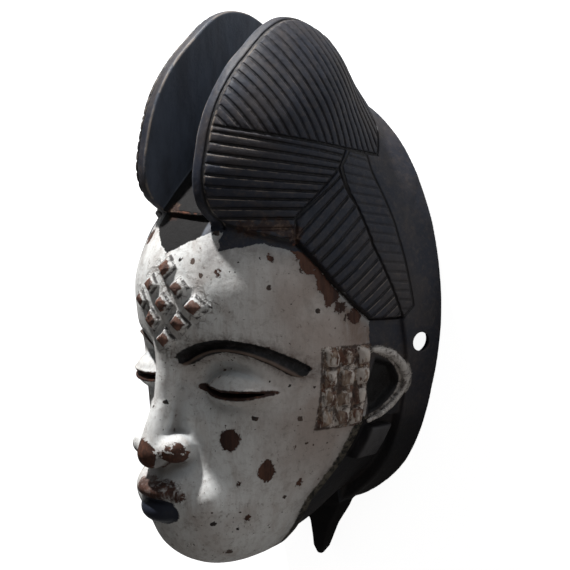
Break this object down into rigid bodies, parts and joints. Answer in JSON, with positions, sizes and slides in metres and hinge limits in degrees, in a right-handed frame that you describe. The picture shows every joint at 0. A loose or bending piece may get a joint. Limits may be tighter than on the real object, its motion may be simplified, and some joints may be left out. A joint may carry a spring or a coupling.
{
  "type": "carved wooden face mask",
  "caption": "Carved and painted wooden face mask with a lobed, ribbed coiffure, scarification marks and cord holes, lying on its back rim.",
  "frame": {"origin": "on the surface the mask lies on, under the middle of its bounding box", "axes": "+X towards the mask's own left ear, +Y up the head from chin to hair, +Z out of the face"},
  "size_m": [0.17, 0.319, 0.144],
  "materials": {
    "carved_wood": "worn satin paint over carved wood: blue-black hair, pale clay face, bare brown wood where worn"
  },
  "bodies": {
    "root": {"mask": "carved_wood"}
  },
  "joints": []
}
